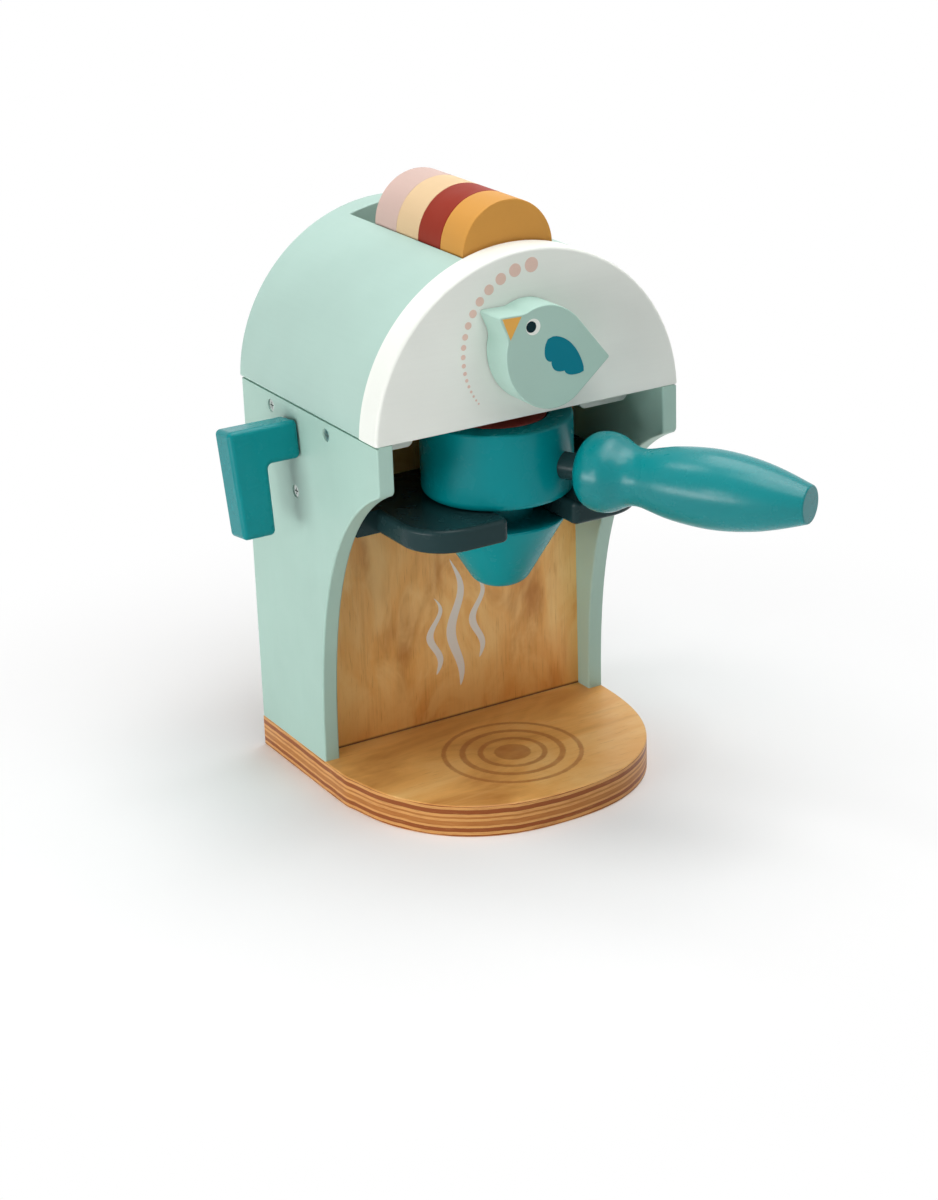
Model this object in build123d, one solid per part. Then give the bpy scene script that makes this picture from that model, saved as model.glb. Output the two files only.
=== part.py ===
from build123d import *
import math
import os

# Toy coffee maker in painted wood and plywood: an open arched case under a half-round hood, a
# portafilter that slides out of a forked shelf, a turning bird knob on the white front panel, a
# steam lever on the left side and wooden coffee pods in the slot on top.
# Millimetres, +Z up, the front faces -Y. The origin is on the underside of the base board, on
# the centre plane, midway between the front and the rear edge.

# ------------------------------------------------------------------ fits and small details
FLAT_CLEAR = 0.3         # between flat faces that slide past each other
RUN_CLEAR = 0.05         # radial clearance of an axle or a screw in its hole
LOOSE_CLEAR = 0.5        # radial clearance of a pod in the cup
SOFT_EDGE = 1.0          # sanded edge of the boards
SEAM_GAP_H = 0.8         # shadow gap along the top outer edge of the sides, under the hood
SEAM_GAP_D = 1.5
SLIVER = 0.01            # lengths below this count as none when edges are picked

# ------------------------------------------------------------------ base board
BASE_T = 18.0            # thickness of the plywood
BASE_HALF_DEPTH = 89.7   # from the origin to the front edge and to the rear edge
BASE_BOW = 103.4         # length of the bowed front part
BASE_FULLNESS = 2.35     # exponent of the bow: 2 is an ellipse, more is squarer
BASE_STATIONS = 8        # points of the bow on each side of the centre

# ------------------------------------------------------------------ side panels
WIDTH = 180.0            # over both side panels
SIDE_T = 9.0
SIDE_H = 200.4
ARCH_FULLNESS = 2.6      # exponent of the arch: 2 is an ellipse, more is squarer
ARCH_CROWN = 17.0        # highest point of its outline, in front of the board, below the hood
ARCH_SINK = 9.6          # middle of its outline below the top of the base
ARCH_LEAD = 60.0         # middle of its outline in front of the front plane
ARCH_REACH = 76.2        # foot of the arch behind the front plane
ARCH_MARGIN = 5.0        # the cut runs this far out of the front edge
ARCH_STATIONS = 12       # points along the arch
NOSE_ROUND = 4.0

# ------------------------------------------------------------------ hood and front panel
FRONT_SETBACK = 28.4     # front plane behind the front edge of the base
FRONT_T = 17.3           # thickness of the white front panel
FRONT_EDGE = 1.8         # rounding of its curved front edge
FRONT_LOW_EDGE = 0.8     # rounding of its straight lower front edge
HOOD_H = 87.0            # from the hood's lower edge to its crown
HOOD_PROUD = 0.7         # its lower edge beyond the sides and behind the rear edge
HOOD_LOW_EDGE = 1.5      # rounding of the lower side edges
SLOT_ROOM = 0.6          # on each side of a pod in the slot
SLOT_REAR_WALL = 14.6    # wood left behind the slot
SLOT_EDGE = 0.5          # chamfer of its mouth
SLOT_FLOOR_RISE = 3.0    # flat slot floor above the lowest point of a pod
DOWEL_R = 4.0            # hidden dowels between front panel and hood
DOWEL_L = 24.0
DOWEL_RING_R = 66.0      # distance of the dowels from the middle of the hood's lower edge
DOWEL_ANGLES = (20.0, 55.0, 125.0, 160.0)

# ------------------------------------------------------------------ back panel and cleats
BACK_SETBACK = 87.2      # face of the back panel behind the front plane
BACK_T = 12.0
CLEAT_W = 30.0
CLEAT_H = 15.4
CLEAT_SETBACK = 34.0     # front end of the cleats behind the front plane
CLEAT_REAR_SETBACK = 13.7    # rear end of the cleats in front of the rear edge
CLEAT_ROUND = 3.5

# ------------------------------------------------------------------ forked shelf
FORK_T = 12.8
FORK_BAR_DEPTH = 44.2    # full-width bar, from the back panel to its front edge
PRONG_INSET = 12.0       # between a prong and the side panel
FORK_LEAD = 8.0          # prong tips in front of the front plane
NECK_ROOM = 0.6          # between the portafilter's neck and each prong
PRONG_OUTER_R = 25.0
PRONG_INNER_R = 4.0
FORK_EDGE = 2.5

# ------------------------------------------------------------------ coffee pods
POD_R = 26.5
POD_T = 22.5
POD_LEAD = 1.7           # between the front panel and the first pod
POD_ROOM = 0.2           # between two pods in the slot
POD_HEIGHT = 82.1        # pod centre above the underside of the hood
POD_EDGE = 0.5
POD_NAMES = ("pod_orange", "pod_maroon", "pod_cream", "pod_pink")

# ------------------------------------------------------------------ portafilter
CUP_REAR_ROOM = 10.9     # between the cup and the back panel
CUP_R = 40.5
CUP_FLOOR_T = 19.1       # solid wood under the recess
CUP_HEADROOM = 7.5       # between the cup and the hood
CUP_BOTTOM_EDGE = 4.0
CUP_RIM_EDGE = 1.4
NECK_R = 18.9            # runs between the prongs
SPIGOT_R = 8.0           # joins spout and cup
SPIGOT_L = 12.0
SPOUT_R = 36.6           # top of the conical spout
SPOUT_TIP_R = 13.0
SPOUT_H = 39.4
SPOUT_TIP_EDGE = 11.0
STEM_R = 7.2
STEM_RISE = 18.3         # stem axis above the bottom of the cup
STEM_WALL = 1.5          # wood left between the stem's hole and the recess
STEM_GRIP = 12.0         # depth of the stem in the handle
HANDLE_SWING = 28.5      # handle to the right of straight ahead, degrees
STEM_SHOWN = 10.9        # between cup and handle
HANDLE_L = 127.1
HANDLE_R = 21.0          # largest radius, at the bulb
HANDLE_BACK_LIP = 0.7    # flat ring round the stem
# Turned outline between the two ends, as shares of HANDLE_L and HANDLE_R: bulb, waist, grip.
HANDLE_SHARES = (
    (0.017, 0.748), (0.049, 0.924), (0.104, 1.000), (0.159, 0.943), (0.206, 0.795),
    (0.253, 0.714), (0.316, 0.762), (0.395, 0.871), (0.489, 0.943), (0.584, 0.971),
    (0.694, 0.929), (0.804, 0.819), (0.914, 0.638),
)
HANDLE_END_R = 9.8       # flat end of the grip

# ------------------------------------------------------------------ bird knob
KNOB_HEIGHT = 38.0       # knob axis above the underside of the hood
KNOB_T = 19.0
KNOB_GAP = 0.5           # between knob and front panel
KNOB_LONG_R = 27.8       # half axes of the bird's oval body
KNOB_SHORT_R = 24.3
KNOB_LEAN = -64.0        # direction of the long axis, degrees from +X
KNOB_MIDDLE = (-0.8, -2.3)   # middle of the oval, across and up from the knob axis
KNOB_TAIL = (35.2, -8.3)     # tip of the tail from the knob axis, before it is rounded
KNOB_BEAK = (-29.6, 22.6)    # tip of the beak from the knob axis, before it is rounded
KNOB_BEAK_TOP = -1.5     # slope of the beak's upper edge from its tip, degrees
KNOB_BEAK_LOW = -66.5    # slope of its lower edge
KNOB_BEAK_ROOT = 20.0    # length of both edges, which end inside the body
KNOB_HOLLOW_R = 10.0     # hollow between beak and body
KNOB_EDGE = 1.2
KNOB_AXLE_R = 5.0
KNOB_AXLE_GRIP = 11.0    # depth of the axle in the knob
RETAINER_R = 14.0
RETAINER_T = 6.0
RETAINER_ROOM = 1.5      # radial room round the retainer in its recess

# ------------------------------------------------------------------ steam lever
LEVER_T = 18.0
LEVER_ARM_H = 20.5       # height of the arm that leaves the side panel
LEVER_REACH = 40.3       # outer face of the lever from the side panel
LEVER_GRIP_W = 20.9      # width of the part that hangs down, at its top
LEVER_LEAN = 2.3         # its outer face slopes in by this at the lower end
LEVER_DROP = 58.0        # full height of the lever
LEVER_BELOW = 4.0        # pin axis below the cleats
LEVER_ARM_RISE = 0.7     # middle of the arm above the pin
LEVER_TILT = 7.5         # lower end towards the front, degrees
LEVER_EDGE = 2.8
PIN_R = 2.5
PIN_COVER = 13.2         # wood left beyond the pin in the lever
PIN_BACK_GRIP = 22.0     # depth of the pin in the edge of the back panel
PIN_GROOVE_IN = 6.0      # groove centre from the inner end of the pin
PIN_GROOVE_W = 3.6
PIN_GROOVE_DEPTH = 0.8

# ------------------------------------------------------------------ screws
SCREW_R = 1.75
SCREW_HEAD_R = 3.5
SCREW_HEAD_H = 2.0
SCREW_SINK = 0.6         # flat face of the head below the wood
SCREW_POINT = 3.0        # length of the tapered point
SCREW_TIP_R = 0.5
CROSS_L = 3.8            # cross recess in the head
CROSS_W = 0.8
CROSS_DEPTH = 1.2
PANEL_SCREW_L = 30.0
CLEAT_SCREW_L = 30.0
FORK_SCREW_L = 38.0
BASE_SCREW_L = 42.0
KNOB_SCREW_L = 16.0
LOCK_SCREW_END_R = 1.4   # plain end that runs in the groove of the pin
PANEL_SCREW_BELOW = 49.1     # screw into the back panel, below the hood
PANEL_SCREW_MARGIN = 20.6    # screws into a cleat, from each of its ends
CLEAT_SCREW_MARGIN = 11.6    # screws up into the hood, from each end of the cleat
FORK_SCREW_X = 45.0
BASE_SCREW_MARGIN = 16.0     # screws under a side panel, from each end of its foot
BACK_SCREW_X = 50.0

# ------------------------------------------------------------------ derived places
HALF_W = WIDTH / 2
INNER_X = HALF_W - SIDE_T
FRONT_Y = FRONT_SETBACK - BASE_HALF_DEPTH
REAR_Y = BASE_HALF_DEPTH
HOOD_Z = BASE_T + SIDE_H
HOOD_HALF_W = HALF_W + HOOD_PROUD
HOOD_R = (HOOD_HALF_W ** 2 + HOOD_H ** 2) / (2 * HOOD_H)
HOOD_END_Y = REAR_Y + HOOD_PROUD
HOOD_Y = FRONT_Y + FRONT_T
SLOT_W = 2 * (POD_R + SLOT_ROOM)
SLOT_END_Y = REAR_Y - SLOT_REAR_WALL
ARCH_HALF_H = SIDE_H + ARCH_SINK - ARCH_CROWN
BACK_Y = FRONT_Y + BACK_SETBACK
BACK_MID_Y = BACK_Y + BACK_T / 2
CLEAT_Y = FRONT_Y + CLEAT_SETBACK
CLEAT_END_Y = REAR_Y - CLEAT_REAR_SETBACK
CLEAT_MID_X = INNER_X - CLEAT_W / 2
CLEAT_Z = HOOD_Z - CLEAT_H
POD_Z = HOOD_Z + POD_HEIGHT
CUP_Y = BACK_Y - CUP_REAR_ROOM - CUP_R
CUP_TOP = HOOD_Z - CUP_HEADROOM
CUP_BOTTOM = CUP_TOP - POD_T - CUP_FLOOR_T
FORK_TOP = CUP_BOTTOM - FLAT_CLEAR
FORK_HALF_W = INNER_X - PRONG_INSET
NOTCH_HALF_W = NECK_R + NECK_ROOM
FORK_BOTTOM = FORK_TOP - FORK_T
CUP_RECESS_R = POD_R + LOOSE_CLEAR
SPOUT_TOP = FORK_BOTTOM - FLAT_CLEAR
STEM_Z = CUP_BOTTOM + STEM_RISE
STEM_START = CUP_RECESS_R + STEM_WALL
HANDLE_START = CUP_R + STEM_SHOWN
HANDLE_END = HANDLE_START + HANDLE_L
HANDLE_BACK_R = STEM_R + HANDLE_BACK_LIP
KNOB_Z = HOOD_Z + KNOB_HEIGHT
KNOB_Y = FRONT_Y - KNOB_GAP
RECESS_DEPTH = RETAINER_T + FLAT_CLEAR * 2
LEVER_Z = CLEAT_Z - LEVER_BELOW
PIN_END_X = -INNER_X + PIN_BACK_GRIP
PIN_OUTER_X = -HALF_W - LEVER_REACH + PIN_COVER
SCREW_HOLE_R = SCREW_R + RUN_CLEAR


# ------------------------------------------------------------------ helpers
def block(x, y, z):
    """Box from three (low, high) pairs."""
    size = Box(x[1] - x[0], y[1] - y[0], z[1] - z[0])
    return Pos((x[0] + x[1]) / 2, (y[0] + y[1]) / 2, (z[0] + z[1]) / 2) * size


def rod(radius, start, end):
    """Round rod between two points."""
    axis = Vector(*end) - Vector(*start)
    return extrude(Plane(origin=start, z_dir=axis) * Circle(radius), amount=axis.length)


def mirrored(shape):
    """The same piece on the other side of the centre plane."""
    return mirror(shape, about=Plane.YZ)


def screw(head, direction, length, plain_end=False):
    """Countersunk screw, sunk below head, a point on the wood; direction is the way it goes in."""
    neck = SCREW_SINK + SCREW_HEAD_H
    if plain_end:
        end = [(LOCK_SCREW_END_R, neck), (LOCK_SCREW_END_R, length)]
    else:
        end = [(SCREW_R, length - SCREW_POINT), (SCREW_TIP_R, length)]
    profile = Polyline(
        (0, SCREW_SINK), (SCREW_HEAD_R, SCREW_SINK), (SCREW_R, neck), *end, (0, length), close=True)
    body = revolve(Plane.XZ * make_face(profile), axis=Axis.Z)
    for turn in (0, 90):
        slot = Box(CROSS_L, CROSS_W, CROSS_DEPTH, align=(Align.CENTER, Align.CENTER, Align.MIN))
        body -= Pos(0, 0, SCREW_SINK) * Rot(0, 0, turn) * slot
    return Plane(origin=head, z_dir=direction) * body


def screw_hole(head, direction, length):
    """Hole with its countersink, a little wider and deeper than the screw."""
    profile = Polyline(
        (0, -RUN_CLEAR), (SCREW_HEAD_R + RUN_CLEAR, -RUN_CLEAR),
        (SCREW_HEAD_R + RUN_CLEAR, SCREW_SINK), (SCREW_HOLE_R, SCREW_SINK + SCREW_HEAD_H),
        (SCREW_HOLE_R, length + RUN_CLEAR), (0, length + RUN_CLEAR), close=True,
    )
    return Plane(origin=head, z_dir=direction) * revolve(Plane.XZ * make_face(profile), axis=Axis.Z)


# ------------------------------------------------------------------ places of the screws
def side_screw_spots(side):
    """Heads on one side panel: two into the cleat, one into the back panel."""
    x = side * HALF_W
    cleat_z = CLEAT_Z + CLEAT_H / 2
    return [
        (x, CLEAT_Y + PANEL_SCREW_MARGIN, cleat_z),
        (x, CLEAT_END_Y - PANEL_SCREW_MARGIN, cleat_z),
        (x, BACK_MID_Y, HOOD_Z - PANEL_SCREW_BELOW),
    ]


def cleat_screw_spots(side):
    """Heads on the underside of one cleat."""
    x = side * CLEAT_MID_X
    return [(x, y, CLEAT_Z) for y in (CLEAT_Y + CLEAT_SCREW_MARGIN, CLEAT_END_Y - CLEAT_SCREW_MARGIN)]


def fork_screw_spots():
    """Heads on the rear face of the back panel, level with the middle of the fork."""
    z = (FORK_TOP + FORK_BOTTOM) / 2
    return [(side * FORK_SCREW_X, BACK_Y + BACK_T, z) for side in (-1, 1)]


def base_screw_spots():
    """Heads on the underside of the base: under the side panels and the back panel."""
    front = FRONT_Y + ARCH_REACH + BASE_SCREW_MARGIN
    rear = REAR_Y - BASE_SCREW_MARGIN
    spots = []
    for side in (-1, 1):
        x = side * (HALF_W - SIDE_T / 2)
        spots += [(x, front, 0), (x, rear, 0)]
        spots.append((side * BACK_SCREW_X, BACK_MID_Y, 0))
    return spots


def lock_screw_spot():
    """Head of the screw that keeps the lever pin in, on the rear face of the back panel."""
    return (PIN_END_X - PIN_GROOVE_IN, BACK_Y + BACK_T, LEVER_Z)


LOCK_SCREW_L = BACK_T / 2 - PIN_R + PIN_GROOVE_DEPTH - FLAT_CLEAR


# ------------------------------------------------------------------ casework
def full_curve(angle, fullness):
    """Point of a squared ellipse with both half axes 1, at an angle in radians."""
    return math.cos(angle) ** (2 / fullness), math.sin(angle) ** (2 / fullness)


def base_board():
    """Plywood board with straight sides and a bowed front, drilled from below."""
    bow_y = BASE_BOW - BASE_HALF_DEPTH
    right = []
    for step in range(1, BASE_STATIONS):
        across, along = full_curve(math.radians(90) * step / BASE_STATIONS, BASE_FULLNESS)
        right.append((HALF_W * across, bow_y - BASE_BOW * along))
    left = [(-x, y) for x, y in reversed(right)]
    bow = Spline(
        (HALF_W, bow_y), *right, (0, -BASE_HALF_DEPTH), *left, (-HALF_W, bow_y),
        tangents=((0, -1), (0, 1)),
    )
    edge = Polyline((-HALF_W, bow_y), (-HALF_W, REAR_Y), (HALF_W, REAR_Y), (HALF_W, bow_y))
    board = extrude(make_face(bow + edge), amount=BASE_T)
    rim = board.faces().sort_by(Axis.Z)[-1].edges() + board.faces().sort_by(Axis.Z)[0].edges()
    board = chamfer(rim, SOFT_EDGE / 2)
    for spot in base_screw_spots():
        board -= screw_hole(spot, (0, 0, 1), BASE_SCREW_L)
    return board


def arch_cut():
    """Area cut from the front edge of a side panel, from the foot up and out at the front."""
    half_l = ARCH_LEAD + ARCH_REACH
    start = math.asin((ARCH_SINK / ARCH_HALF_H) ** (ARCH_FULLNESS / 2))
    end = math.acos(((ARCH_LEAD - ARCH_MARGIN) / half_l) ** (ARCH_FULLNESS / 2))
    points = []
    for step in range(ARCH_STATIONS + 1):
        along, up = full_curve(start + (end - start) * step / ARCH_STATIONS, ARCH_FULLNESS)
        points.append((FRONT_Y - ARCH_LEAD + half_l * along, BASE_T - ARCH_SINK + ARCH_HALF_H * up))
    rest = Polyline(points[-1], (points[-1][0], BASE_T), points[0])
    return make_face(Spline(*points) + rest)


def side_panel():
    """Left side panel: a board with a tall arch cut from its front edge and a gap under the hood."""
    depth = REAR_Y - FRONT_Y
    outline = Pos((FRONT_Y + REAR_Y) / 2, BASE_T + SIDE_H / 2) * Rectangle(depth, SIDE_H)
    outline -= arch_cut()
    nose = outline.vertices().group_by(Axis.X)[0].sort_by(Axis.Y)[0]
    outline = fillet(nose, NOSE_ROUND)
    panel = extrude(Plane.YZ.offset(-HALF_W) * outline, amount=SIDE_T)
    for face in (0, -1):
        rim = panel.faces().sort_by(Axis.X)[face].edges().filter_by(Axis.Y, reverse=True)
        panel = fillet(rim, SOFT_EDGE)
    panel -= block((-HALF_W, -HALF_W + SEAM_GAP_D), (FRONT_Y, REAR_Y), (HOOD_Z - SEAM_GAP_H, HOOD_Z))
    for spot in side_screw_spots(-1):
        panel -= screw_hole(spot, (1, 0, 0), PANEL_SCREW_L)
    for spot in base_screw_spots():
        panel -= screw_hole(spot, (0, 0, 1), BASE_SCREW_L)
    return panel


def pin_bore():
    """Hole for the lever pin through the side panel and into the edge of the back panel."""
    outside = (-HALF_W - LEVER_REACH, BACK_MID_Y, LEVER_Z)
    return rod(PIN_R + RUN_CLEAR, outside, (PIN_END_X + FLAT_CLEAR, BACK_MID_Y, LEVER_Z))


def side_panel_left():
    return side_panel() - pin_bore()


def side_panel_right():
    return mirrored(side_panel())


def back_panel():
    """Plywood panel between the sides, notched at the top for the cleats."""
    thick = (BACK_Y, BACK_Y + BACK_T)
    panel = block((-INNER_X, INNER_X), thick, (BASE_T, HOOD_Z))
    notch = block((INNER_X - CLEAT_W, INNER_X), thick, (CLEAT_Z, HOOD_Z))
    panel -= notch + mirrored(notch)
    for side in (-1, 1):
        panel -= screw_hole(side_screw_spots(side)[2], (-side, 0, 0), PANEL_SCREW_L)
    for spot in fork_screw_spots():
        panel -= screw_hole(spot, (0, -1, 0), FORK_SCREW_L)
    for spot in base_screw_spots():
        panel -= screw_hole(spot, (0, 0, 1), BASE_SCREW_L)
    panel -= pin_bore()
    panel -= screw_hole(lock_screw_spot(), (0, -1, 0), LOCK_SCREW_L)
    return panel


def cleat_right():
    """Block under the hood that the side panel and the hood are screwed to."""
    cleat = block((INNER_X - CLEAT_W, INNER_X), (CLEAT_Y, CLEAT_END_Y), (CLEAT_Z, HOOD_Z))
    low_edges = cleat.edges().filter_by(Axis.Y).group_by(Axis.Z)[0]
    cleat = fillet(low_edges, CLEAT_ROUND)
    for spot in side_screw_spots(1):
        cleat -= screw_hole(spot, (-1, 0, 0), PANEL_SCREW_L)
    for spot in cleat_screw_spots(1):
        cleat -= screw_hole(spot, (0, 0, 1), CLEAT_SCREW_L)
    return cleat


def cleat_left():
    return mirrored(cleat_right())


def hood_outline():
    """Round outline cut straight at the hood's lower edge, as a face in the XZ plane."""
    disc = Pos(0, HOOD_H - HOOD_R) * Circle(HOOD_R)
    disc -= Pos(0, -HOOD_R) * Rectangle(2 * HOOD_R, 2 * HOOD_R)
    return Pos(0, HOOD_Z) * disc


def front_dowel_spots():
    """Middles of the hidden dowels between front panel and hood."""
    spots = []
    for angle in DOWEL_ANGLES:
        turn = math.radians(angle)
        spots.append((DOWEL_RING_R * math.cos(turn), HOOD_Z + DOWEL_RING_R * math.sin(turn)))
    return spots


def dowel_rod(spot, extra):
    """Dowel across the glued face; extra widens and lengthens it into its hole."""
    x, z = spot
    half = DOWEL_L / 2 + extra
    return rod(DOWEL_R + extra, (x, HOOD_Y - half, z), (x, HOOD_Y + half, z))


def hood_block():
    """Solid half-round hood with the pod slot, whose floor has a trough for the pods."""
    hood = extrude(Plane.XZ.offset(-HOOD_END_Y) * hood_outline(), amount=HOOD_END_Y - HOOD_Y)
    side_edges = hood.edges().filter_by(Axis.Y).group_by(Axis.Z)[0]
    hood = fillet(side_edges, HOOD_LOW_EDGE)
    hood = fillet(hood.faces().sort_by(Axis.Y)[-1].edges(), SOFT_EDGE)
    floor_z = POD_Z - POD_R + SLOT_FLOOR_RISE
    hood -= block((-SLOT_W / 2, SLOT_W / 2), (HOOD_Y, SLOT_END_Y), (floor_z, HOOD_Z + 2 * HOOD_R))
    mouth = [e for e in hood.edges() if e.center().Z > POD_Z and e.center().Y < SLOT_END_Y + SLIVER
             and abs(e.center().X) < SLOT_W / 2 + SLIVER and e.bounding_box().min.Z > POD_Z]
    hood = chamfer(mouth, SLOT_EDGE)
    hood -= rod(POD_R + FLAT_CLEAR, (0, HOOD_Y, POD_Z), (0, SLOT_END_Y, POD_Z))
    for spot in front_dowel_spots():
        hood -= dowel_rod(spot, RUN_CLEAR)
    for side in (-1, 1):
        for spot in cleat_screw_spots(side):
            hood -= screw_hole(spot, (0, 0, 1), CLEAT_SCREW_L)
    return hood


def front_panel():
    """White half-round board with the knob's bore and a recess behind it."""
    panel = extrude(Plane.XZ.offset(-HOOD_Y) * hood_outline(), amount=FRONT_T)
    panel = fillet(panel.faces().sort_by(Axis.Y)[0].edges().filter_by(GeomType.CIRCLE), FRONT_EDGE)
    low_edge = panel.edges().filter_by(Axis.X).sort_by(Axis.Y)[0]
    panel = fillet(low_edge, FRONT_LOW_EDGE)
    panel -= rod(KNOB_AXLE_R + RUN_CLEAR, (0, FRONT_Y, KNOB_Z), (0, HOOD_Y, KNOB_Z))
    panel -= rod(RETAINER_R + RETAINER_ROOM, (0, HOOD_Y - RECESS_DEPTH, KNOB_Z), (0, HOOD_Y, KNOB_Z))
    for spot in front_dowel_spots():
        panel -= dowel_rod(spot, RUN_CLEAR)
    return panel


def fork_shelf():
    """Shelf with two rounded prongs that carries the portafilter by its neck."""
    bar_y = BACK_Y - FORK_BAR_DEPTH
    tip_y = FRONT_Y - FORK_LEAD
    bar = Pos(0, (bar_y + BACK_Y) / 2) * Rectangle(2 * INNER_X, BACK_Y - bar_y)
    prongs = Pos(0, (tip_y + BACK_Y) / 2) * Rectangle(2 * FORK_HALF_W, BACK_Y - tip_y)
    notch = Pos(0, (tip_y + CUP_Y) / 2) * Rectangle(2 * NOTCH_HALF_W, CUP_Y - tip_y)
    notch += Pos(0, CUP_Y) * Circle(NOTCH_HALF_W)
    outline = bar + prongs - notch
    tips = outline.vertices().group_by(Axis.Y)[0].sort_by(Axis.X)
    outline = fillet([tips[0], tips[-1]], PRONG_OUTER_R)
    inner = [v for v in outline.vertices().group_by(Axis.Y)[0] if abs(v.X) < NOTCH_HALF_W + SLIVER]
    outline = fillet(inner, PRONG_INNER_R)
    shelf = extrude(Pos(0, 0, FORK_BOTTOM) * outline, amount=FORK_T)
    rim = [e for e in shelf.edges() if e.bounding_box().max.Y < bar_y + SLIVER
           and e.bounding_box().size.Z < SLIVER and abs(e.center().X) < FORK_HALF_W + SLIVER]
    shelf = fillet(rim, FORK_EDGE)
    for spot in fork_screw_spots():
        shelf -= screw_hole(spot, (0, -1, 0), FORK_SCREW_L)
    return shelf


# ------------------------------------------------------------------ bird knob
def knob_body():
    """Bird cut from a board: an oval body drawn out to a tail, and a beak as the pointer."""
    to_oval = (Pos(*KNOB_MIDDLE) * Rot(0, 0, KNOB_LEAN)).inverse()
    tip = (to_oval * Pos(*KNOB_TAIL)).position
    across, along = tip.X / KNOB_LONG_R, tip.Y / KNOB_SHORT_R
    middle_turn = math.atan2(along, across)
    half_turn = math.acos(1 / math.hypot(across, along))
    touches = []
    for turn in (middle_turn - half_turn, middle_turn + half_turn):
        touches.append((KNOB_LONG_R * math.cos(turn), KNOB_SHORT_R * math.sin(turn)))
    tail = make_face(Polyline((0, 0), touches[0], (tip.X, tip.Y), touches[1], close=True))
    outline = Pos(*KNOB_MIDDLE) * Rot(0, 0, KNOB_LEAN) * (Ellipse(KNOB_LONG_R, KNOB_SHORT_R) + tail)
    beak = [KNOB_BEAK]
    for slope in (KNOB_BEAK_TOP, KNOB_BEAK_LOW):
        turn = math.radians(slope)
        x = KNOB_BEAK[0] + KNOB_BEAK_ROOT * math.cos(turn)
        beak.append((x, KNOB_BEAK[1] + KNOB_BEAK_ROOT * math.sin(turn)))
    outline += make_face(Polyline(*beak, close=True))
    tip_r = math.hypot(*KNOB_TAIL) - KNOB_EDGE
    hollows = [v for v in outline.vertices() if v.X < 0 < v.Y and Vector(v).length < tip_r]
    outline = fillet(hollows, KNOB_HOLLOW_R)
    tips = [v for v in outline.vertices() if Vector(v).length > tip_r]
    outline = Pos(0, KNOB_Z) * fillet(tips, KNOB_EDGE)
    body = extrude(Plane.XZ.offset(-KNOB_Y) * outline, amount=KNOB_T)
    body = fillet(body.faces().sort_by(Axis.Y)[0].edges(), KNOB_EDGE / 2)
    return body - rod(KNOB_AXLE_R + RUN_CLEAR, (0, KNOB_Y - KNOB_AXLE_GRIP, KNOB_Z), (0, KNOB_Y, KNOB_Z))


def knob_screw_spot():
    return (0, HOOD_Y - FLAT_CLEAR, KNOB_Z)


def knob_axle():
    """Dowel glued into the knob, running in the front panel."""
    back_y = HOOD_Y - FLAT_CLEAR - RETAINER_T
    axle = rod(KNOB_AXLE_R, (0, KNOB_Y - KNOB_AXLE_GRIP, KNOB_Z), (0, back_y, KNOB_Z))
    return axle - screw_hole(knob_screw_spot(), (0, -1, 0), KNOB_SCREW_L)


def knob_retainer():
    """Disc screwed to the rear end of the axle."""
    back_y = HOOD_Y - FLAT_CLEAR
    disc = rod(RETAINER_R, (0, back_y - RETAINER_T, KNOB_Z), (0, back_y, KNOB_Z))
    return disc - screw_hole(knob_screw_spot(), (0, -1, 0), KNOB_SCREW_L)


# ------------------------------------------------------------------ steam lever
def tilted(shape):
    """Turned about the lever pin by the tilt at rest."""
    pin = Axis((0, BACK_MID_Y, LEVER_Z), (1, 0, 0))
    return shape.rotate(pin, -LEVER_TILT)


def lever_arm():
    """L-shaped board: a short arm off the side panel and a grip that hangs from it."""
    root_x = -HALF_W - FLAT_CLEAR
    outer_x = -HALF_W - LEVER_REACH
    top_z = LEVER_Z + LEVER_ARM_RISE + LEVER_ARM_H / 2
    corners = Polyline(
        (root_x, top_z), (outer_x, top_z), (outer_x + LEVER_LEAN, top_z - LEVER_DROP),
        (outer_x + LEVER_GRIP_W, top_z - LEVER_DROP), (outer_x + LEVER_GRIP_W, top_z - LEVER_ARM_H),
        (root_x, top_z - LEVER_ARM_H), close=True,
    )
    board = extrude(Plane.XZ.offset(-BACK_MID_Y - LEVER_T / 2) * make_face(corners), amount=LEVER_T)
    board = fillet(board.edges(), LEVER_EDGE)
    board -= rod(PIN_R + RUN_CLEAR, (PIN_OUTER_X, BACK_MID_Y, LEVER_Z), (root_x, BACK_MID_Y, LEVER_Z))
    return tilted(board)


def lever_pin():
    """Steel pin fixed in the lever, grooved near its inner end."""
    pin = rod(PIN_R, (PIN_OUTER_X, BACK_MID_Y, LEVER_Z), (PIN_END_X, BACK_MID_Y, LEVER_Z))
    groove_x = PIN_END_X - PIN_GROOVE_IN
    half = PIN_GROOVE_W / 2
    ring = rod(PIN_R, (groove_x - half, BACK_MID_Y, LEVER_Z), (groove_x + half, BACK_MID_Y, LEVER_Z))
    core_r = PIN_R - PIN_GROOVE_DEPTH
    ring -= rod(core_r, (groove_x - half, BACK_MID_Y, LEVER_Z), (groove_x + half, BACK_MID_Y, LEVER_Z))
    return pin - ring


def lever_lock_screw():
    """Short screw whose plain end stands in the groove of the pin."""
    return screw(lock_screw_spot(), (0, -1, 0), LOCK_SCREW_L, plain_end=True)


# ------------------------------------------------------------------ portafilter
def along_handle(shape):
    """From the X axis to the stem's axis, at its angle round the cup."""
    return Pos(0, CUP_Y, STEM_Z) * Rot(0, 0, HANDLE_SWING - 90) * shape


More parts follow.
